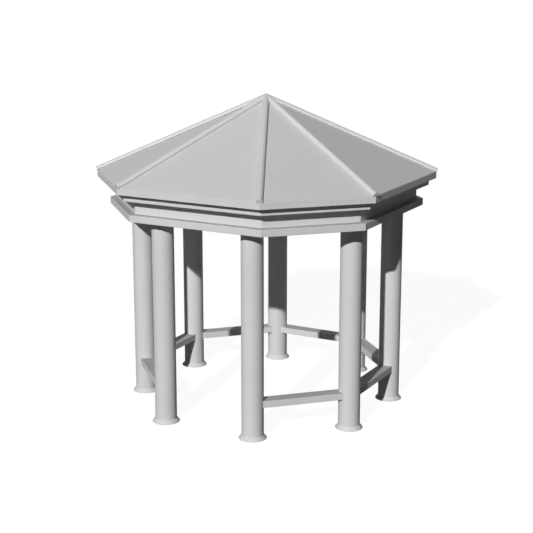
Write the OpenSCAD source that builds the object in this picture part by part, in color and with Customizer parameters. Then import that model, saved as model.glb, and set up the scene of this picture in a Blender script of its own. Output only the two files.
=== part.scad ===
// Open garden gazebo: eight round columns on flared bases, seven low rails, a stepped eight-sided
// entablature and a shallow pointed roof with a half-round roll on every hip.
// Millimetres, +Z up, ground at z = 0, the open entry bay faces -Y.

/* [Columns] */
// Radius of the circle on which the eight column centres stand
column_circle = 1490; // [1250:10:1900]
// Diameter of a column shaft
column_dia = 250; // [180:5:320]
// Height from the ground to the underside of the architrave
column_height = 2365; // [2050:5:2700]
// How far the foot of a base stands out past the shaft
base_spread = 33; // [24:1:45]
// Height of a base, from the ground to the shaft
base_height = 44; // [34:1:60]
// Height of the upright edge at the foot of a base
base_edge = 4; // [2:1:10]

/* [Rails] */
// Width of a rail, from its outer to its inner face
rail_width = 160; // [110:5:180]
// Thickness of a rail, from its underside to its top
rail_thickness = 78; // [50:1:95]
// Height of the top of the rails above the ground
rail_top = 440; // [360:5:520]
// Fitting gap between a rail's hollowed end and the column
rail_fit = 0.3; // [0:0.1:0.8]

/* [Entablature] */
// How far the architrave stands out past the column faces on the four main sides
soffit_overhang = 152; // [120:1:220]
// How much farther out the four corner sides lie than the four main sides
corner_extra = 100; // [60:1:120]
// How far the architrave runs past the columns on the inside
soffit_lip = 40; // [20:1:70]
// Height of the architrave
architrave_height = 80; // [60:1:110]
// Height of the frieze
frieze_height = 160; // [120:1:210]
// How far the frieze lies behind the face of the architrave
frieze_setback = 73; // [40:1:90]
// Thickness of the boards on both faces of the frieze
frieze_board = 45; // [25:1:60]
// How far the inner boards lie behind the inner edge of the architrave
inner_setback = 25; // [10:1:40]
// Height of the cornice
cornice_height = 80; // [60:1:110]
// How far the cornice stands out past the frieze
cornice_projection = 131; // [90:1:170]
// Height of the face at the edge of the eaves, panel edge and plank together
eaves_height = 80; // [60:1:110]
// How far the eaves stand out past the cornice
eaves_projection = 79; // [50:1:110]
// Width of the eaves planks on the four main sides
plank_width = 310; // [260:5:380]

/* [Roof] */
// Height from the top of the eaves to the point where the panels meet
roof_rise = 863; // [650:1:1100]
// Thickness of a roof panel
panel_thickness = 30; // [18:1:45]
// Radius of a hip roll
roll_radius = 39; // [28:1:50]
// Width of a hip rafter
rafter_width = 50; // [38:1:65]
// Depth of a hip rafter, square to its length
rafter_depth = 120; // [90:1:150]
// How far the upright cut at a rafter's foot lies behind the edge of the eaves
rafter_toe = 60; // [30:5:90]
// How far the hub hangs below the rafters
hub_drop = 30; // [10:1:80]
// Fitting gap between the hub and the rafters and panels round it
hub_fit = 0.3; // [0:0.1:0.8]

/* [Hidden] */
$fn = 96;

white = [0.90, 0.90, 0.89];
roof_white = [0.87, 0.87, 0.87];

side_names = ["front", "front_right", "right", "back_right", "back", "back_left", "left", "front_left"];
side_count = len(side_names);
side_step = 360 / side_count;
// Side 0 is the open entry, so the rails stand on sides 1 to 7
rail_sides = [1:side_count - 1];
main_sides = [0:2:side_count - 1];
corner_sides = [1:2:side_count - 1];

column_r = column_dia / 2;
column_line = column_circle * cos(side_step / 2);

// Distance of each ring's faces from the middle: main sides, and inner faces that follow the columns
architrave_out = column_line + column_r + soffit_overhang;
ring_in = column_line - column_r - soffit_lip;
frieze_out = architrave_out - frieze_setback;
frieze_in = ring_in + inner_setback;
cornice_out = frieze_out + cornice_projection;
eaves_out = cornice_out + eaves_projection;
plank_in = eaves_out - plank_width;

frieze_z = column_height + architrave_height;
cornice_z = frieze_z + frieze_height;
eaves_z = cornice_z + cornice_height;
roof_z = eaves_z + eaves_height;
apex_z = roof_z + roof_rise;

// Slope of the panels on main and corner sides, and the plan angle between a hip and a main side
main_slope = atan(roof_rise / eaves_out);
corner_slope = atan(roof_rise / (eaves_out + corner_extra));
eaves_corner = corner_at(0, eaves_out);
eaves_reach = norm(eaves_corner);
hip_angle = atan2(eaves_corner[0], -eaves_corner[1]);
hip_slope = atan(roof_rise / eaves_reach);
hip_length = norm([eaves_reach, roof_rise]);

panel_edge = panel_thickness / cos(main_slope);
plank_height = eaves_height - panel_edge;

// The rafters hang below the hip by the panels and by the fall of the panels across half a rafter
rafter_fall = rafter_width / 2 * tan(main_slope) * sin(hip_angle);
rafter_top_z = apex_z - panel_edge - rafter_fall;
rafter_low_z = rafter_top_z - rafter_depth / cos(hip_slope);
seat_z = eaves_z + plank_height;
seat_in = (rafter_low_z - seat_z) / tan(hip_slope);
toe_out = eaves_reach - rafter_toe;

// The hub is wide enough to keep neighbouring rafters apart where they meet it
rafter_gap = 12;
hub_r = rafter_width / 2 / sin(min(hip_angle, side_step - hip_angle)) + rafter_gap;
hub_top = apex_z - panel_edge - hub_r * tan(main_slope) - hub_fit;
hub_low = rafter_low_z - hub_r * tan(hip_slope) - hub_drop;

// Reach of the cutting shapes past the roof
cut_scale = 1.2;
cut_depth = 4 * roll_radius;

function side_angle(i) = -90 + i * side_step;
function column_angle(j) = side_angle(j) + side_step / 2;
function hip_plan_angle(j) = j % 2 == 0 ? side_angle(j) + hip_angle : side_angle(j + 1) - hip_angle;
function is_main(i) = i % 2 == 0;
function side_distance(i, main, extra) = is_main(i) ? main : main + extra;

// Plan corner between side j and side j + 1 of an eight-sided ring
function corner_at(j, main, extra = corner_extra) =
    let (near = side_distance(j, main, extra), next = side_distance(j + 1, main, extra))
    let (along = (next - near * cos(side_step)) / sin(side_step), a = side_angle(j))
    [near * cos(a) - along * sin(a), near * sin(a) + along * cos(a)];

// One mitred length of a ring: its outer face has the corner sides farther out, its inner face may not
module ring_length(i, out, in, in_extra, height) {
    linear_extrude(height)
        polygon([
            corner_at(i - 1, out),
            corner_at(i, out),
            corner_at(i, in, in_extra),
            corner_at(i - 1, in, in_extra)
        ]);
}

module column(j) {
    color(white)
        rotate([0, 0, column_angle(j)])
            translate([column_circle, 0, base_height])
                cylinder(r = column_r, h = column_height - base_height);
}

// Half section of a base: an upright edge at the foot, then a straight slope in to the shaft
module base_profile() {
    foot_r = column_r + base_spread;
    polygon([[0, 0], [foot_r, 0], [foot_r, base_edge], [column_r, base_height], [0, base_height]]);
}

module column_bases() {
    color(white)
        for (j = [0:side_count - 1])
            rotate([0, 0, column_angle(j)])
                translate([column_circle, 0, 0])
                    rotate_extrude()
                        base_profile();
}

module rail(i) {
    half_bay = column_circle * sin(side_step / 2);
    color(white)
        rotate([0, 0, side_angle(i)])
            difference() {
                translate([column_line - rail_width / 2, -half_bay, rail_top - rail_thickness])
                    cube([rail_width, 2 * half_bay, rail_thickness]);
                for (y = [-half_bay, half_bay])
                    translate([column_line, y, rail_top - 2 * rail_thickness])
                        cylinder(r = column_r + rail_fit, h = 3 * rail_thickness);
            }
}

module architrave(sides) {
    color(white)
        translate([0, 0, column_height])
            for (i = sides)
                ring_length(i, architrave_out, ring_in, 0, architrave_height);
}

module frieze_outer(sides) {
    color(white)
        translate([0, 0, frieze_z])
            for (i = sides)
                ring_length(i, frieze_out, frieze_out - frieze_board, corner_extra, frieze_height);
}

module frieze_inner(sides) {
    color(white)
        translate([0, 0, frieze_z])
            for (i = sides)
                linear_extrude(frieze_height)
                    polygon([
                        corner_at(i - 1, frieze_in + frieze_board, 0),
                        corner_at(i, frieze_in + frieze_board, 0),
                        corner_at(i, frieze_in, 0),
                        corner_at(i - 1, frieze_in, 0)
                    ]);
}

module cornice(sides) {
    color(white)
        translate([0, 0, cornice_z])
            for (i = sides)
                ring_length(i, cornice_out, ring_in, 0, cornice_height);
}

module eaves_planks(sides) {
    color(white)
        translate([0, 0, eaves_z])
            for (i = sides)
                ring_length(i, eaves_out, plank_in, 0, plank_height);
}

// Wedge of roof over one side, from its sloping top down by the given thickness
module roof_wedge(i, thickness, reach) {
    slope = is_main(i) ? main_slope : corner_slope;
    run = reach * 2 * eaves_reach;
    intersection() {
        linear_extrude(apex_z + thickness)
            polygon([[0, 0], reach * corner_at(i - 1, eaves_out), reach * corner_at(i, eaves_out)]);
        translate([0, 0, apex_z])
            rotate([0, slope, side_angle(i)])
                translate([-run / 2, -run / 2, -thickness])
                    cube([run * 3 / 2, run, thickness]);
    }
}

module roof_panel(i) {
    color(roof_white)
        roof_wedge(i, panel_thickness, 1);
}

// Round roll along a hip, hollowed to sit on the two panels and mitred to its neighbours at the point
module hip_roll(j) {
    far = 2 * eaves_reach;
    edges = [side_angle(j), side_angle(j + 1)];
    color(roof_white)
        difference() {
            intersection() {
                translate([0, 0, apex_z])
                    rotate([0, 90 + hip_slope, hip_plan_angle(j)])
                        translate([0, 0, -2 * roll_radius])
                            cylinder(r = roll_radius, h = hip_length + 2 * roll_radius);
                linear_extrude(apex_z + 2 * roll_radius)
                    polygon([[0, 0], for (a = edges) far * [cos(a), sin(a)]]);
            }
            roof_wedge(j, cut_depth, cut_scale);
            roof_wedge(j + 1, cut_depth, cut_scale);
        }
}

module hip_rafters() {
    color(white)
        for (j = [0:side_count - 1])
            difference() {
                rotate([90, 0, hip_plan_angle(j)])
                    translate([0, 0, -rafter_width / 2])
                        linear_extrude(rafter_width)
                            polygon([
                                [hub_r / 2, rafter_top_z - hub_r / 2 * tan(hip_slope)],
                                [hub_r / 2, rafter_low_z - hub_r / 2 * tan(hip_slope)],
                                [seat_in, seat_z],
                                [toe_out, seat_z],
                                [toe_out, rafter_top_z - toe_out * tan(hip_slope)]
                            ]);
                translate([0, 0, hub_low - hub_drop])
                    cylinder(r = hub_r + hub_fit, h = apex_z - hub_low);
            }
}

module roof_hub() {
    color(white)
        translate([0, 0, hub_low])
            cylinder(r = hub_r, h = hub_top - hub_low);
}

for (j = [0:side_count - 1])
    column(j);
column_bases();
for (i = rail_sides)
    rail(i);
architrave(main_sides);  // architrave_main_sides
architrave(corner_sides);  // architrave_corner_sides
frieze_outer(main_sides);  // frieze_outer_main_sides
frieze_outer(corner_sides);  // frieze_outer_corner_sides
frieze_inner(main_sides);  // frieze_inner_main_sides
frieze_inner(corner_sides);  // frieze_inner_corner_sides
cornice(main_sides);  // cornice_main_sides
cornice(corner_sides);  // cornice_corner_sides
eaves_planks(main_sides);  // eaves_main_sides
eaves_planks(corner_sides);  // eaves_corner_sides
for (i = [0:side_count - 1])
    roof_panel(i);
for (j = [0:side_count - 1])
    hip_roll(j);
hip_rafters();
roof_hub();
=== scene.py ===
"""Dresses the garden gazebo: eased boards, flared bases, sheet roof with hip rolls and painted finishes."""
from math import atan, atan2, cos, hypot, pi, radians, sin, tan

import bmesh
import bpy
import numpy as np
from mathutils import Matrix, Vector


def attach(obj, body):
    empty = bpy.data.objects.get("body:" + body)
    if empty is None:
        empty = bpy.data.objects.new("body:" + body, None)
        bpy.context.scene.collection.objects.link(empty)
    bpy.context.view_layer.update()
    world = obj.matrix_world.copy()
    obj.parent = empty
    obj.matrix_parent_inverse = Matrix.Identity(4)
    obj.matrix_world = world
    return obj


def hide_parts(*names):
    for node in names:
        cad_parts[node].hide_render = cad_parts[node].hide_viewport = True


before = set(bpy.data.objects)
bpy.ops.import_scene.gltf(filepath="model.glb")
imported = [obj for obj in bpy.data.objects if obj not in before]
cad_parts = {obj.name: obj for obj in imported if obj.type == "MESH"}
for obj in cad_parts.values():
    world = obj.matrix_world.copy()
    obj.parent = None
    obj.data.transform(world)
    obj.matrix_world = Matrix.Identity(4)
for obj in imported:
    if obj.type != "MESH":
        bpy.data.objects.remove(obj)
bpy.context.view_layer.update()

# Sizes in metres, the same as the part's own
SIDES = ("front", "front_right", "right", "back_right", "back", "back_left", "left", "front_left")
STEP = 2 * pi / len(SIDES)
COLUMN_CIRCLE = 1.490
COLUMN_R = 0.125
COLUMN_HEIGHT = 2.365
BASE_SPREAD = 0.033
BASE_HEIGHT = 0.044
BASE_EDGE = 0.004
RAIL_WIDTH = 0.160
RAIL_THICKNESS = 0.078
RAIL_TOP = 0.440
RAIL_FIT = 0.0003
SOFFIT_OVERHANG = 0.152
CORNER_EXTRA = 0.100
SOFFIT_LIP = 0.040
ARCHITRAVE_HEIGHT = 0.080
FRIEZE_HEIGHT = 0.160
FRIEZE_SETBACK = 0.073
FRIEZE_BOARD = 0.045
INNER_SETBACK = 0.025
CORNICE_HEIGHT = 0.080
CORNICE_PROJECTION = 0.131
EAVES_HEIGHT = 0.080
EAVES_PROJECTION = 0.079
PLANK_WIDTH = 0.310
ROOF_RISE = 0.863
PANEL_THICKNESS = 0.030
ROLL_RADIUS = 0.039
RAFTER_WIDTH = 0.050
RAFTER_DEPTH = 0.120
RAFTER_TOE = 0.060
RAFTER_GAP = 0.012
HUB_DROP = 0.030
HUB_FIT = 0.0003

# Finishing sizes: eased edges, the fine arris at joints, the panels' rounded eaves edge, the hub's turned end
# and the undercut at the feet of the rolls
EASE = 0.004
ARRIS = 0.0012
NOSING = 0.005
RAFTER_EASE = 0.005
HUB_CHAMFER = 0.016
UNDERCUT_RISE = 0.009
UNDERCUT_DEPTH = 0.016

# How finely curves are cut
ARC_PARTS = 4
ROLL_PARTS = 32
ROUND_PARTS = 96
RAIL_END_PARTS = 12

# Rings that keep the shading true: distance from a shaft's ends, and shares of the way up a base's slope
SHAFT_RING = 0.02
SLOPE_RINGS = (0.08, 0.92)

# Points nearer than this are one point, and folds beyond this angle stay sharp
MERGE_DISTANCE = 1e-6
SHARP_ANGLE = radians(32)

COLUMN_LINE = COLUMN_CIRCLE * cos(STEP / 2)
HALF_BAY = COLUMN_CIRCLE * sin(STEP / 2)
ARCHITRAVE_OUT = COLUMN_LINE + COLUMN_R + SOFFIT_OVERHANG
RING_IN = COLUMN_LINE - COLUMN_R - SOFFIT_LIP
FRIEZE_OUT = ARCHITRAVE_OUT - FRIEZE_SETBACK
FRIEZE_IN = RING_IN + INNER_SETBACK
CORNICE_OUT = FRIEZE_OUT + CORNICE_PROJECTION
EAVES_OUT = CORNICE_OUT + EAVES_PROJECTION
FRIEZE_Z = COLUMN_HEIGHT + ARCHITRAVE_HEIGHT
CORNICE_Z = FRIEZE_Z + FRIEZE_HEIGHT
EAVES_Z = CORNICE_Z + CORNICE_HEIGHT
ROOF_Z = EAVES_Z + EAVES_HEIGHT
APEX_Z = ROOF_Z + ROOF_RISE
UP = np.array([0.0, 0.0, 1.0])


def side_angle(i):
    """Plan angle of the outward normal of side i; side 0 is the entry, facing -Y."""
    return -pi / 2 + i * STEP


def level_axes(angle):
    """Unit vector along a plan angle, and the level one square to it on the left."""
    return np.array([cos(angle), sin(angle), 0.0]), np.array([-sin(angle), cos(angle), 0.0])


def ring_corner(j, main, extra):
    """Plan corner between sides j and j + 1, where the odd sides lie farther out by extra."""
    near = main + extra * (j % 2)
    following = main + extra * ((j + 1) % 2)
    along = (following - near * cos(STEP)) / sin(STEP)
    out, length = level_axes(side_angle(j))
    return near * out + along * length


EAVES_CORNER = ring_corner(0, EAVES_OUT, CORNER_EXTRA)
EAVES_REACH = hypot(*EAVES_CORNER)
HIP_ANGLE = atan2(EAVES_CORNER[0], -EAVES_CORNER[1])
HIP_SLOPE = atan(ROOF_RISE / EAVES_REACH)
HIP_LENGTH = hypot(EAVES_REACH, ROOF_RISE)


def hip_plan_angle(j):
    """Plan angle of hip j, between sides j and j + 1."""
    return side_angle(j) + HIP_ANGLE if j % 2 == 0 else side_angle(j + 1) - HIP_ANGLE


def half_angle(i):
    """Plan angle from the normal of side i to the hips beside it."""
    return STEP - HIP_ANGLE if i % 2 else HIP_ANGLE


def panel_slope(i):
    """Slope of the roof panel on side i."""
    return atan(ROOF_RISE / (EAVES_OUT + CORNER_EXTRA * (i % 2)))


def arc(start, end, parts=ARC_PARTS):
    """Angles of the points on an arc."""
    return np.linspace(start, end, parts + 1)


def girth_of(section):
    """Distance round a closed section at each of its points, and once more at its closing point."""
    steps = np.linalg.norm(np.diff(section, axis=0, append=section[:1]), axis=1)
    return np.concatenate([[0], np.cumsum(steps)])


def edge_gaps(lines, eased):
    """Distances back to the start and on to the end of the flat that each strip lies on, at its two sides.

    lines says where the grid lines between the strips lie, and eased which strips are an eased edge: these
    have no flat, so their distances are 0 or less.
    """
    strips = np.arange(eased.size)
    start = np.maximum.accumulate(np.where(eased, strips + 1, 0))
    end = np.minimum.accumulate(np.where(eased, strips, eased.size)[::-1])[::-1]
    sides = np.stack([lines[:-1], lines[1:]], 1)
    return np.stack([sides - lines[start][:, None], lines[end][:, None] - sides], 2)


def skin(along, girth, eased_rows=None, eased_columns=None):
    """Faces over a grid whose rows close on themselves, their run along and round it, and their edge gaps.

    along has one value for every grid point, girth one for every row and one more for the closing row. The
    eased edges of a piece follow either its rows or its columns.
    """
    rows, columns = along.shape
    row, column = np.indices((rows, columns - 1)).reshape(2, -1)
    corner_row = np.stack([row, row + 1, row + 1, row], 1)
    corner_column = np.stack([column, column, column + 1, column + 1], 1)
    faces = corner_row % rows * columns + corner_column
    run = np.stack([along[corner_row % rows, corner_column], girth[corner_row]], 2)
    if eased_columns is None:
        gaps = edge_gaps(girth, eased_rows)[row][:, [0, 1, 1, 0]]
    else:
        gaps = edge_gaps(along[0], eased_columns)[column][:, [0, 0, 1, 1]]
    return faces, run, gaps


def end_strip(first, second, columns, column, flat):
    """Closes one end of a grid with quads between two chains of its rows; flat gives the rows' run."""
    strip = np.stack([first[:-1], first[1:], second[1:], second[:-1]], 1)
    return strip * columns + column, flat[strip], np.ones((*strip.shape, 2))


def eased_at(count, *starts):
    """Which of the strips are an eased edge: ARC_PARTS of them from each of the given starts."""
    eased = np.zeros(count, bool)
    eased[np.add.outer(starts, np.arange(ARC_PARTS)).ravel()] = True
    return eased


def eased_section(inner, outer, low, high, ease, across=1):
    """Rectangle in distance and height with quarter-round corners, counter-clockwise from below outside.

    Each corner is centre + ease * (cos t, sin t) over a quarter turn; the level edges have `across` parts.
    Also gives which strips are rounded, and the upper and lower chains of points from outside to inside.
    """
    def quarter(distance, height, start):
        turn = arc(start, start + pi / 2)
        return np.stack([distance + ease * np.cos(turn), height + ease * np.sin(turn)], 1)

    inside = np.linspace(outer - ease, inner + ease, across + 1)[1:-1]
    top = np.stack([inside, np.full_like(inside, high)], 1)
    bottom = np.stack([inside[::-1], np.full_like(inside, low)], 1)
    section = np.concatenate([
        quarter(outer - ease, low + ease, -pi / 2),
        quarter(outer - ease, high - ease, 0),
        top,
        quarter(inner + ease, high - ease, pi / 2),
        quarter(inner + ease, low + ease, pi),
        bottom,
    ])
    count = ARC_PARTS + 1
    level = inside.size
    eased = eased_at(len(section), 0, count, 2 * count + level, 3 * count + level)
    upper = np.arange(count, 3 * count + level)
    lower = np.roll(np.arange(len(section))[::-1], count)[:upper.size]
    return section, eased, upper, lower


def board(i, inner, outer, low, high, start, end, across=1):
    """Straight board on side i: an eased section carried from start(d) to end(d) along the side.

    The last millimetre at each end draws in to a smaller section, which gives the joint its fine arris.
    """
    section, eased, upper, lower = eased_section(inner, outer, low, high, EASE, across)
    drawn = eased_section(inner + ARRIS, outer - ARRIS, low + ARRIS, high - ARRIS, EASE - ARRIS, across)[0]
    d, z = np.stack([drawn, section, section, drawn], 2).transpose(1, 0, 2)
    t = np.stack([start(d[:, 0]), start(d[:, 1]) + ARRIS, end(d[:, 2]) - ARRIS, end(d[:, 3])], 1)
    out, length = level_axes(side_angle(i))
    points = d[..., None] * out + t[..., None] * length + z[..., None] * UP
    ends = [end_strip(upper, lower, 4, column, drawn) for column in (0, 3)]
    return points.reshape(-1, 3), [skin(t, girth_of(section), eased), *ends]


def ring_board(i, out, out_extra, inner, inner_extra, low, high):
    """One mitred length of a ring: its ends run straight from inner to outer plan corner."""
    normal, length = level_axes(side_angle(i))
    outside = [ring_corner(j, out, out_extra) for j in (i - 1, i)]
    inside = [ring_corner(j, inner, inner_extra) for j in (i - 1, i)]
    near, far = inside[0] @ normal, outside[0] @ normal

    def mitre(k):
        slant = outside[k] - inside[k]
        return lambda d: (inside[k] + slant * ((d - near) / (far - near))[:, None]) @ length

    return board(i, near, far, low, high, mitre(0), mitre(1))


def rail_board(i):
    """Rail whose ends are hollowed to the columns: half the bay less sqrt(r^2 - offset^2)."""
    def end(d):
        return HALF_BAY - np.sqrt((COLUMN_R + RAIL_FIT)**2 - (d - COLUMN_LINE)**2)

    inner, outer = COLUMN_LINE - RAIL_WIDTH / 2, COLUMN_LINE + RAIL_WIDTH / 2
    low = RAIL_TOP - RAIL_THICKNESS
    return board(i, inner, outer, low, RAIL_TOP, lambda d: -end(d), end, RAIL_END_PARTS)


def turned(centre, profile, *starts):
    """Surface of revolution: a profile of radius and height turned once about an upright axis.

    starts are the points of the profile at which its small arcs begin.
    """
    radius, height = profile.T
    turn = np.linspace(0, 2 * pi, ROUND_PARTS, endpoint=False)
    x = centre[0] + np.outer(np.cos(turn), radius)
    y = centre[1] + np.outer(np.sin(turn), radius)
    points = np.stack([x, y, np.broadcast_to(height, x.shape)], 2)
    along = np.concatenate([[0], np.cumsum(np.linalg.norm(np.diff(profile, axis=0), axis=1))])
    girth = radius.max() * 2 * pi / ROUND_PARTS * np.arange(ROUND_PARTS + 1)
    eased = eased_at(len(profile) - 1, *starts)
    return points.reshape(-1, 3), [skin(np.broadcast_to(along, x.shape), girth, eased_columns=eased)]


def column_centre(j):
    """Plan place of the column between sides j and j + 1."""
    return COLUMN_CIRCLE * level_axes(side_angle(j) + STEP / 2)[0]


def round_corner(radius, height, start, end, size):
    """Arc of a profile about a centre: (radius + size cos t, height + size sin t)."""
    turn = arc(start, end)
    return np.stack([radius + size * np.cos(turn), height + size * np.sin(turn)], 1)


def column_shaft(j):
    """Plain shaft with a fine arris at both ends; a ring near each end keeps the shading true."""
    foot = round_corner(COLUMN_R - ARRIS, BASE_HEIGHT + ARRIS, -pi / 2, 0, ARRIS)
    head = round_corner(COLUMN_R - ARRIS, COLUMN_HEIGHT - ARRIS, 0, pi / 2, ARRIS)
    rings = [[COLUMN_R, BASE_HEIGHT + SHAFT_RING], [COLUMN_R, COLUMN_HEIGHT - SHAFT_RING]]
    profile = np.concatenate([[[0, BASE_HEIGHT]], foot, rings, head, [[0, COLUMN_HEIGHT]]])
    return turned(column_centre(j), profile, 1, 1 + len(foot) + len(rings))


def column_base(j):
    """Flared base: eased foot, a short upright edge, then a straight slope in to the shaft."""
    foot = COLUMN_R + BASE_SPREAD
    pitch = atan2(BASE_HEIGHT - BASE_EDGE, BASE_SPREAD)
    lower = round_corner(foot - ARRIS, ARRIS, -pi / 2, 0, ARRIS)
    edge = ARRIS * tan(pi / 4 - pitch / 2)
    upper = round_corner(foot - ARRIS, BASE_EDGE - edge, 0, pi / 2 - pitch, ARRIS)
    share = np.append(SLOPE_RINGS, 1.0)[:, None]
    slope = upper[-1] + share * (np.array([COLUMN_R, BASE_HEIGHT]) - upper[-1])
    profile = np.concatenate([[[0, 0]], lower, upper, slope, [[0, BASE_HEIGHT]]])
    return turned(column_centre(j), profile, 1, 1 + len(lower))


def roof_sheet(i):
    """Flat panel from eaves to point: z falls by run * tan(slope), half width is run * tan(half angle)."""
    slope = panel_slope(i)
    out = EAVES_OUT + CORNER_EXTRA * (i % 2)
    turn = arc(0, pi / 2 - slope)
    nose_z = APEX_Z - (out - NOSING) * tan(slope) - NOSING / cos(slope)
    reach = np.append(out - NOSING + NOSING * np.cos(turn), 0)
    top = np.append(nose_z + NOSING * np.sin(turn), APEX_Z)
    under = APEX_Z - PANEL_THICKNESS / cos(slope) - reach * tan(slope)
    section = np.stack([np.append(reach, reach[::-1]), np.append(top, under[::-1])], 1)
    t = np.outer(section[:, 0] * tan(half_angle(i)), [-1.0, 1.0])
    normal, length = level_axes(side_angle(i))
    points = (section[:, :1] * normal + section[:, 1:] * UP)[:, None] + t[..., None] * length
    faces, run, gaps = skin(t, girth_of(section), eased_at(len(section), 0))
    upper = np.arange(reach.size)
    lower = np.arange(reach.size, len(section))[::-1]
    ends = [end_strip(upper, lower, 2, column, section) for column in (0, 1)]
    return points.reshape(-1, 3), [(faces, run[..., ::-1], gaps), *ends]


def hip_cover(j):
    """Round roll on hip j: points apex + s * axis + r * (sin u * across + cos u * square).

    u runs over the top from side to side and stops a little above the panels, and from there an undercut
    slants in to the panel. Each line starts where it meets the upright plane half way to the next hip, at
    plan distance r * |sin u| / tan(half angle), and the lower end is cut square.
    """
    level, across = level_axes(hip_plan_angle(j))
    axis = level * cos(HIP_SLOPE) - UP * sin(HIP_SLOPE)
    square = level * sin(HIP_SLOPE) + UP * cos(HIP_SLOPE)
    edges = []
    for i, sign in ((j, -1), (j + 1, 1)):
        slope = panel_slope(i)
        panel = sin(slope) * level_axes(side_angle(i))[0] + cos(slope) * UP
        edges.append(pi / 2 + atan2(sign * (panel @ across), panel @ square))
    lift = UNDERCUT_RISE / ROLL_RADIUS
    u = np.concatenate([[-edges[0]], arc(lift - edges[0], edges[1] - lift, ROLL_PARTS), [edges[1]]])
    r = np.full(u.size, ROLL_RADIUS)
    r[[0, -1]] -= UNDERCUT_DEPTH
    hip_line = [[0.0, 0.0]]
    section = np.concatenate([np.stack([r * np.sin(u), r * np.cos(u)], 1), hip_line])
    half = np.where(section[:, 0] < 0, half_angle(j), half_angle(j + 1))
    start = (np.abs(section[:, 0]) / np.tan(half) - section[:, 1] * sin(HIP_SLOPE)) / cos(HIP_SLOPE)
    s = np.stack([start, np.full_like(start, HIP_LENGTH - ARRIS), np.full_like(start, HIP_LENGTH)], 1)
    drawn = np.multiply.outer(section, [1, 1, 1 - ARRIS / ROLL_RADIUS])
    points = (APEX_Z * UP + s[..., None] * axis
              + drawn[:, 0, :, None] * across + drawn[:, 1, :, None] * square)
    fan = np.stack([np.full(u.size - 1, u.size), np.arange(u.size - 1), np.arange(1, u.size)], 1)
    ends = [(fan * 3 + column, section[fan], np.ones((*fan.shape, 2))) for column in (0, 2)]
    arris = np.array([False, True])
    return points.reshape(-1, 3), [skin(s, girth_of(section), eased_columns=arris), *ends]


PANEL_EDGE = PANEL_THICKNESS / cos(panel_slope(0))
PLANK_HEIGHT = EAVES_HEIGHT - PANEL_EDGE
RAFTER_FALL = RAFTER_WIDTH / 2 * tan(panel_slope(0)) * sin(HIP_ANGLE)
RAFTER_TOP_Z = APEX_Z - PANEL_EDGE - RAFTER_FALL
RAFTER_PLUMB = RAFTER_DEPTH / cos(HIP_SLOPE)
SEAT_Z = EAVES_Z + PLANK_HEIGHT
TOE_OUT = EAVES_REACH - RAFTER_TOE
HUB_R = RAFTER_WIDTH / 2 / sin(min(HIP_ANGLE, STEP - HIP_ANGLE)) + RAFTER_GAP
HUB_TOP = APEX_Z - PANEL_EDGE - HUB_R * tan(panel_slope(0)) - HUB_FIT
HUB_LOW = RAFTER_TOP_Z - RAFTER_PLUMB - HUB_R * tan(HIP_SLOPE) - HUB_DROP


def hip_rafter(j):
    """Rafter under hip j: a section of offset and plumb depth v, at height top - p * tan(slope) - v.

    Each line runs from the hub, p = sqrt(r^2 - offset^2), out to the toe's upright cut or the level seat,
    whichever comes first, and the section has a point where the two cuts meet.
    """
    half = RAFTER_WIDTH / 2
    turn = arc(-pi / 2, 0)
    low = np.stack([
        half - RAFTER_EASE * (1 - np.cos(turn)),
        RAFTER_PLUMB - RAFTER_EASE * (1 + np.sin(turn)),
    ], 1)
    knee = RAFTER_TOP_Z - SEAT_Z - TOE_OUT * tan(HIP_SLOPE)
    right = np.concatenate([low, [[half, knee], [half, 0]]])
    section = np.concatenate([right, right[::-1] * [-1, 1]])
    offset, depth = section.T
    p = np.stack([
        np.sqrt((HUB_R + HUB_FIT)**2 - offset**2),
        np.minimum(TOE_OUT, (RAFTER_TOP_Z - depth - SEAT_Z) / tan(HIP_SLOPE)),
    ], 1)
    level, across = level_axes(hip_plan_angle(j))
    z = RAFTER_TOP_Z - p * tan(HIP_SLOPE) - depth[:, None]
    points = p[..., None] * level + offset[:, None, None] * across + z[..., None] * UP
    rows = np.arange(len(section))
    eased = eased_at(rows.size, 0, rows.size - 1 - ARC_PARTS)
    sides = rows[:len(right)], rows[len(right):][::-1]
    ends = [end_strip(*sides, 2, column, section) for column in (0, 1)]
    return points.reshape(-1, 3), [skin(p / cos(HIP_SLOPE), girth_of(section), eased), *ends]


def roof_hub():
    """Turned hub: plain barrel whose lower end has a quarter-round quirk and a coned tip."""
    quirk = HUB_CHAMFER / 2
    tip = [[0, HUB_LOW], [HUB_R - 2 * HUB_CHAMFER, HUB_LOW], [HUB_R - HUB_CHAMFER, HUB_LOW + quirk]]
    corner = round_corner(HUB_R - quirk, HUB_LOW + 3 * quirk, -pi / 2, 0, quirk)
    neck = [[HUB_R - HUB_CHAMFER, HUB_LOW + 2 * quirk]]
    head = [[HUB_R, HUB_TOP - HUB_CHAMFER], [HUB_R, HUB_TOP], [0, HUB_TOP]]
    return turned((0, 0), np.concatenate([tip, neck, corner, head]), len(tip) + len(neck))


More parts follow.
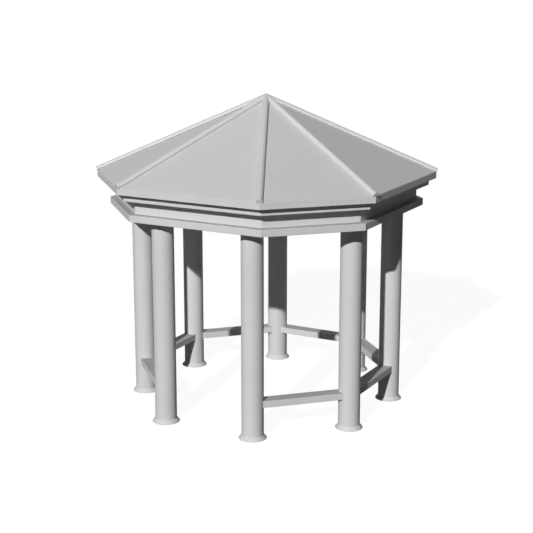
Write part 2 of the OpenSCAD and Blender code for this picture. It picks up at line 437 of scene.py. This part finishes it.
def make_piece(name, solids, finish, nodes):
    """One object from closed solids: doubles merged, faces turned outward, flats kept flat in shading."""
    points, faces, runs, gaps = [], [], [], []
    first = 0
    for solid_points, patches in solids:
        points.append(solid_points)
        for patch_faces, patch_run, patch_gaps in patches:
            faces += (patch_faces + first).tolist()
            runs.append(patch_run.ravel())
            gaps.append(patch_gaps.ravel())
        first += len(solid_points)
    mesh = bpy.data.meshes.new(name)
    mesh.from_pydata(np.concatenate(points), [], faces)
    for layer, values in (("run", runs), ("edge gaps", gaps)):
        mesh.uv_layers.new(name=layer).data.foreach_set("uv", np.concatenate(values))
    work = bmesh.new()
    work.from_mesh(mesh)
    bmesh.ops.remove_doubles(work, verts=work.verts, dist=MERGE_DISTANCE)
    bmesh.ops.recalc_face_normals(work, faces=work.faces)
    work.to_mesh(mesh)
    work.free()
    mesh.shade_smooth()
    mesh.set_sharp_from_angle(angle=SHARP_ANGLE)
    mesh.materials.append(finish)
    piece = bpy.data.objects.new(name, mesh)
    bpy.context.scene.collection.objects.link(piece)
    flats = piece.modifiers.new("true flats", "WEIGHTED_NORMAL")
    flats.keep_sharp = True
    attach(piece, "root")
    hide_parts(*nodes)


class Value:
    """A shader value that takes part in Python arithmetic: every operator adds one Math node."""

    def __init__(self, finish, socket):
        self.finish = finish
        self.socket = socket

    def math(self, operation, first, second):
        return self.finish.node("ShaderNodeMath", {"operation": operation}, {0: first, 1: second})

    def __add__(self, other):
        return self.math("ADD", self, other)

    def __sub__(self, other):
        return self.math("SUBTRACT", self, other)

    def __mul__(self, other):
        return self.math("MULTIPLY", self, other)

    __radd__ = __add__


class Finish:
    """A node tree being put together round one shader: a material's, or the world's."""

    def __init__(self, owner, shader):
        owner.use_nodes = True
        self.tree = owner.node_tree
        self.shader = self.tree.nodes[shader]

    def feed(self, node, sockets):
        """Sets or links a node's sockets."""
        for key, value in sockets.items():
            if isinstance(value, Value):
                self.tree.links.new(value.socket, node.inputs[key])
            else:
                node.inputs[key].default_value = value

    def node(self, kind, settings=None, sockets=None, output=0):
        """A node of this type with its settings, then its sockets' values or links; gives one output."""
        made = self.tree.nodes.new(kind)
        for key, value in (settings or {}).items():
            setattr(made, key, value)
        self.feed(made, sockets or {})
        return Value(self, made.outputs[output])

    def noise(self, where, scale, detail=2.0, stretch=(1, 1, 1)):
        """Noise from 0 to 1 on coordinates stretched by the given factors."""
        laid = self.node("ShaderNodeMapping", {}, {"Vector": where, "Scale": stretch})
        return self.node("ShaderNodeTexNoise", {}, {"Vector": laid, "Scale": scale, "Detail": detail})

    def band(self, value, low, high):
        """Smooth step of a value from 0 at low to 1 at high."""
        return self.node("ShaderNodeMapRange", {"interpolation_type": "SMOOTHSTEP"},
                         {"Value": value, "From Min": low, "From Max": high})

    def mix(self, amount, first, second):
        """Colour between first and second, which a mix node takes at sockets 6 and 7 and gives at 2."""
        return self.node("ShaderNodeMix", {"data_type": "RGBA"}, {0: amount, 6: first, 7: second}, 2)


# Noise scales in the paint; those of three values stretch it along the piece and round it
BROAD_SCALE = 1.7
WAVE_SCALE = 2.3
RUB_SCALE = 26
STIPPLE_SCALE = 75
STREAK_STRETCH = (1.2, 40, 1)
FIBRE_STRETCH = (3.5, 75, 1)
BRUSH_STRETCH = (9, 620, 1)

# Spans over which an effect comes in: the tone, and by how far a face looks up, the dust and painted shade on
# level tops
TONE_SPAN = (0.3, 0.7)
DUST_AND_SHADE_SPAN = (0.94, 0.99)

# Rubbed edges: reach and span in metres, how strongly they show, and their share of the paint's colour
RUB_REACH = 0.016
RUB_SPAN = (0.0085, 0.0105)
RUB_SHARE = 0.7
WORN_TINT = (0.82, 0.80, 0.76)

# Surface of the paint: the brush lines' height in millimetres, how much the roughness varies, and its shine
BRUSH_HEIGHT = 0.03
MILLIMETRE = 0.001
ROUGHNESS_SPREAD = 0.25
PAINT_SPECULAR = 0.05


def painted(name, colour, roughness, weather, grain=0.0, stipple=0.0, waves=0.0, dust_and_shade=0.0):
    """Flat paint: tone that changes along the piece, brush lines, and small rubbed patches on the edges.

    weather is how much darker the dull parts are. grain, stipple and waves are heights in millimetres: of the
    timber's grain under the paint, of the roller's stipple and of the slow waves in a sheet. dust_and_shade
    is how much of the dust colour lies on level tops, as dust and as painted shade that darkens the tops.
    """
    material = bpy.data.materials.new(name)
    paint = Finish(material, "Principled BSDF")
    place = paint.node("ShaderNodeTexCoord", output="Object")
    run = paint.node("ShaderNodeUVMap", {"uv_map": "run"})
    gaps = paint.node("ShaderNodeUVMap", {"uv_map": "edge gaps"})
    back, on = (paint.node("ShaderNodeSeparateXYZ", {}, {0: gaps}, axis) for axis in "XY")
    edge = back.math("MINIMUM", back, on)
    broad = paint.noise(place, BROAD_SCALE, 3.0)
    streak = paint.noise(run, 1.0, 4.0, STREAK_STRETCH)
    fibre = paint.noise(run, 1.0, 5.0, FIBRE_STRETCH)
    brush = paint.noise(run, 1.0, 3.0, BRUSH_STRETCH)
    roller = paint.noise(place, STIPPLE_SCALE, 3.0)
    slow = paint.noise(place, WAVE_SCALE, 1.0)
    normal = paint.node("ShaderNodeTexCoord", output="Normal")
    # Level tops go towards the dust colour: dust, and also painted shade that makes the tops darker
    level = paint.band(paint.node("ShaderNodeSeparateXYZ", {}, {0: normal}, "Z"), *DUST_AND_SHADE_SPAN)
    dust_and_painted_shade = level * (0.7 + streak * 0.6) * dust_and_shade
    rubbed = paint.band(paint.noise(place, RUB_SCALE, 5.0) * RUB_REACH - edge, *RUB_SPAN)
    tone = paint.band(broad * 0.45 + streak * 0.35 + fibre * 0.2, *TONE_SPAN)
    dull = (*(c * (1 - weather) for c in colour), 1)
    worn = (*(c * share for c, share in zip(colour, WORN_TINT)), 1)
    clean = paint.mix(tone, dull, (*colour, 1))
    height = brush * BRUSH_HEIGHT + fibre * grain + roller * stipple + slow * waves
    uneven = brush * 0.4 + broad * 0.6 - 0.5
    paint.feed(paint.shader, {
        "Base Color": paint.mix(rubbed * RUB_SHARE, paint.mix(dust_and_painted_shade, clean, DUST_AND_SHADE_COLOUR), worn),
        "Roughness": roughness + uneven * ROUGHNESS_SPREAD + rubbed * 0.1 + dust_and_painted_shade * 0.2,
        "Specular IOR Level": PAINT_SPECULAR,
        "Normal": paint.node("ShaderNodeBump", {}, {
            "Height": height,
            "Strength": 1.0,
            "Distance": MILLIMETRE,
        }),
    })
    return material


WHITE = (0.78, 0.78, 0.775)
# Dust colour for level tops, which also paints shade on them
DUST_AND_SHADE_COLOUR = (0.40, 0.395, 0.38, 1)
column_paint = painted("column paint", WHITE, 0.62, 0.055, grain=0.08, stipple=0.12)
# Rails and trim get dust with painted shade on their level tops
rail_paint = painted("rail paint", WHITE, 0.58, 0.060, grain=0.30, dust_and_shade=0.75)
trim_paint = painted("trim paint", WHITE, 0.60, 0.055, grain=0.25, dust_and_shade=0.75)
roof_paint = painted("roof sheet paint", (0.77, 0.77, 0.77), 0.50, 0.050, stipple=0.05, waves=2.5)
roll_paint = painted("hip roll paint", (0.79, 0.79, 0.79), 0.48, 0.045, stipple=0.05, waves=0.6)
inside_paint = painted("inside timber paint", WHITE, 0.62, 0.070, grain=0.35)

ALL = range(len(SIDES))
for j in ALL:
    make_piece(f"column_shaft_{j + 1}", [column_shaft(j)], column_paint, [f"column_{j + 1}"])
    make_piece(f"hip_cover_{j + 1}", [hip_cover(j)], roll_paint, [f"hip_roll_{j + 1}"])
make_piece("column_base_rings", [column_base(j) for j in ALL], column_paint, ["column_bases"])
for i, side in enumerate(SIDES):
    make_piece(f"roof_sheet_{side}", [roof_sheet(i)], roof_paint, [f"roof_panel_{side}"])
    if i > 0:
        make_piece(f"low_rail_{side}", [rail_board(i)], rail_paint, [f"rail_{side}"])

# Outer and inner distance of each ring, with how much farther out its corner sides lie, and its heights
RINGS = {
    "architrave": (ARCHITRAVE_OUT, CORNER_EXTRA, RING_IN, 0, COLUMN_HEIGHT, FRIEZE_Z),
    "frieze_outer": (FRIEZE_OUT, CORNER_EXTRA, FRIEZE_OUT - FRIEZE_BOARD, CORNER_EXTRA, FRIEZE_Z, CORNICE_Z),
    "frieze_inner": (FRIEZE_IN + FRIEZE_BOARD, 0, FRIEZE_IN, 0, FRIEZE_Z, CORNICE_Z),
    "cornice": (CORNICE_OUT, CORNER_EXTRA, RING_IN, 0, CORNICE_Z, EAVES_Z),
    "eaves": (EAVES_OUT, CORNER_EXTRA, EAVES_OUT - PLANK_WIDTH, 0, EAVES_Z, SEAT_Z),
}
for ring, sizes in RINGS.items():
    for which, first in (("main", 0), ("corner", 1)):
        boards = [ring_board(i, *sizes) for i in ALL[first::2]]
        make_piece(f"{ring}_boards_{which}", boards, trim_paint, [f"{ring}_{which}_sides"])
make_piece("hip_rafter_set", [hip_rafter(j) for j in ALL], inside_paint, ["hip_rafters"])
make_piece("roof_hub_post", [roof_hub()], inside_paint, ["roof_hub"])


# The studio: the floor's own grey, how bright floor and background look, and the little light they give
FLOOR_HALF_WIDTH = 300.0
FLOOR_GREY = 0.12
FLOOR_GLOW = 0.945
BACKGROUND_GLOW = 0.98
BACKGROUND_LIGHT = 0.02
LAMP_DISTANCE = 20


def seen_rays(finish):
    """1 for the rays that show the background: from the camera, from gloss and through glass."""
    kinds = ("Is Camera Ray", "Is Glossy Ray", "Is Transmission Ray")
    camera_ray, gloss, glass = (finish.node("ShaderNodeLightPath", output=kind) for kind in kinds)
    return camera_ray.math("MINIMUM", camera_ray + gloss + glass, 1)


def pale_floor(half_width):
    """Level floor that looks white, of a dull grey that still takes the shadow."""
    mesh = bpy.data.meshes.new("floor")
    corners = [(x, y, 0) for x, y in ((-1, -1), (1, -1), (1, 1), (-1, 1))]
    mesh.from_pydata(np.array(corners) * half_width, [], [(0, 1, 2, 3)])
    material = bpy.data.materials.new("pale floor")
    ground = Finish(material, "Principled BSDF")
    ground.feed(ground.shader, {
        "Base Color": (FLOOR_GREY, FLOOR_GREY, FLOOR_GREY, 1),
        "Roughness": 1.0,
        "Specular IOR Level": 0.0,
    })
    glow = ground.node("ShaderNodeEmission", {}, {
        "Color": (1, 1, 1, 1),
        "Strength": seen_rays(ground) * FLOOR_GLOW,
    })
    dull = Value(ground, ground.shader.outputs[0])
    both = ground.node("ShaderNodeAddShader", {}, {0: dull, 1: glow})
    ground.feed(ground.tree.nodes["Material Output"], {"Surface": both})
    mesh.materials.append(material)
    floor = bpy.data.objects.new("floor", mesh)
    bpy.context.scene.collection.objects.link(floor)


def sun_lamp(name, azimuth, height, energy, spread, gloss=True):
    """Distant lamp from a plan angle and a height above the horizon, which may leave no gloss."""
    data = bpy.data.lights.new(name, "SUN")
    data.energy = energy
    data.angle = spread
    lamp = bpy.data.objects.new(name, data)
    towards = Vector((cos(azimuth) * cos(height), sin(azimuth) * cos(height), sin(height)))
    lamp.rotation_euler = towards.to_track_quat("Z", "Y").to_euler()
    lamp.location = towards * LAMP_DISTANCE
    lamp.visible_glossy = gloss
    bpy.context.scene.collection.objects.link(lamp)


pale_floor(FLOOR_HALF_WIDTH)
world = bpy.data.worlds.new("studio")
bpy.context.scene.world = world
studio = Finish(world, "Background")
studio.feed(studio.shader, {
    "Color": (1, 1, 1, 1),
    "Strength": seen_rays(studio) * BACKGROUND_GLOW + BACKGROUND_LIGHT,
})
# The key comes from the front left, as in the photograph, and a low broad lamp shows the back
sun_lamp("key", azimuth=radians(-82.0), height=radians(29.7), energy=2.72, spread=radians(1.0))
sun_lamp("back fill", azimuth=radians(115), height=radians(4), energy=2.4, spread=radians(24), gloss=False)

# The photograph's viewpoint
VIEW_AZIMUTH = radians(-61.707)
VIEW_HEIGHT = radians(13.804)
VIEW_PLACE = (7.137, -13.251, 5.298)
camera = bpy.data.cameras.new("camera")
camera.sensor_width = 36
camera.lens = 87.38
camera.clip_end = 2000
viewpoint = bpy.data.objects.new("camera", camera)
back = (cos(VIEW_AZIMUTH) * cos(VIEW_HEIGHT), sin(VIEW_AZIMUTH) * cos(VIEW_HEIGHT), sin(VIEW_HEIGHT))
viewpoint.rotation_euler = Vector(back).to_track_quat("Z", "Y").to_euler()
viewpoint.location = VIEW_PLACE
bpy.context.scene.collection.objects.link(viewpoint)
bpy.context.scene.camera = viewpoint
bpy.context.scene.view_settings.view_transform = "Standard"
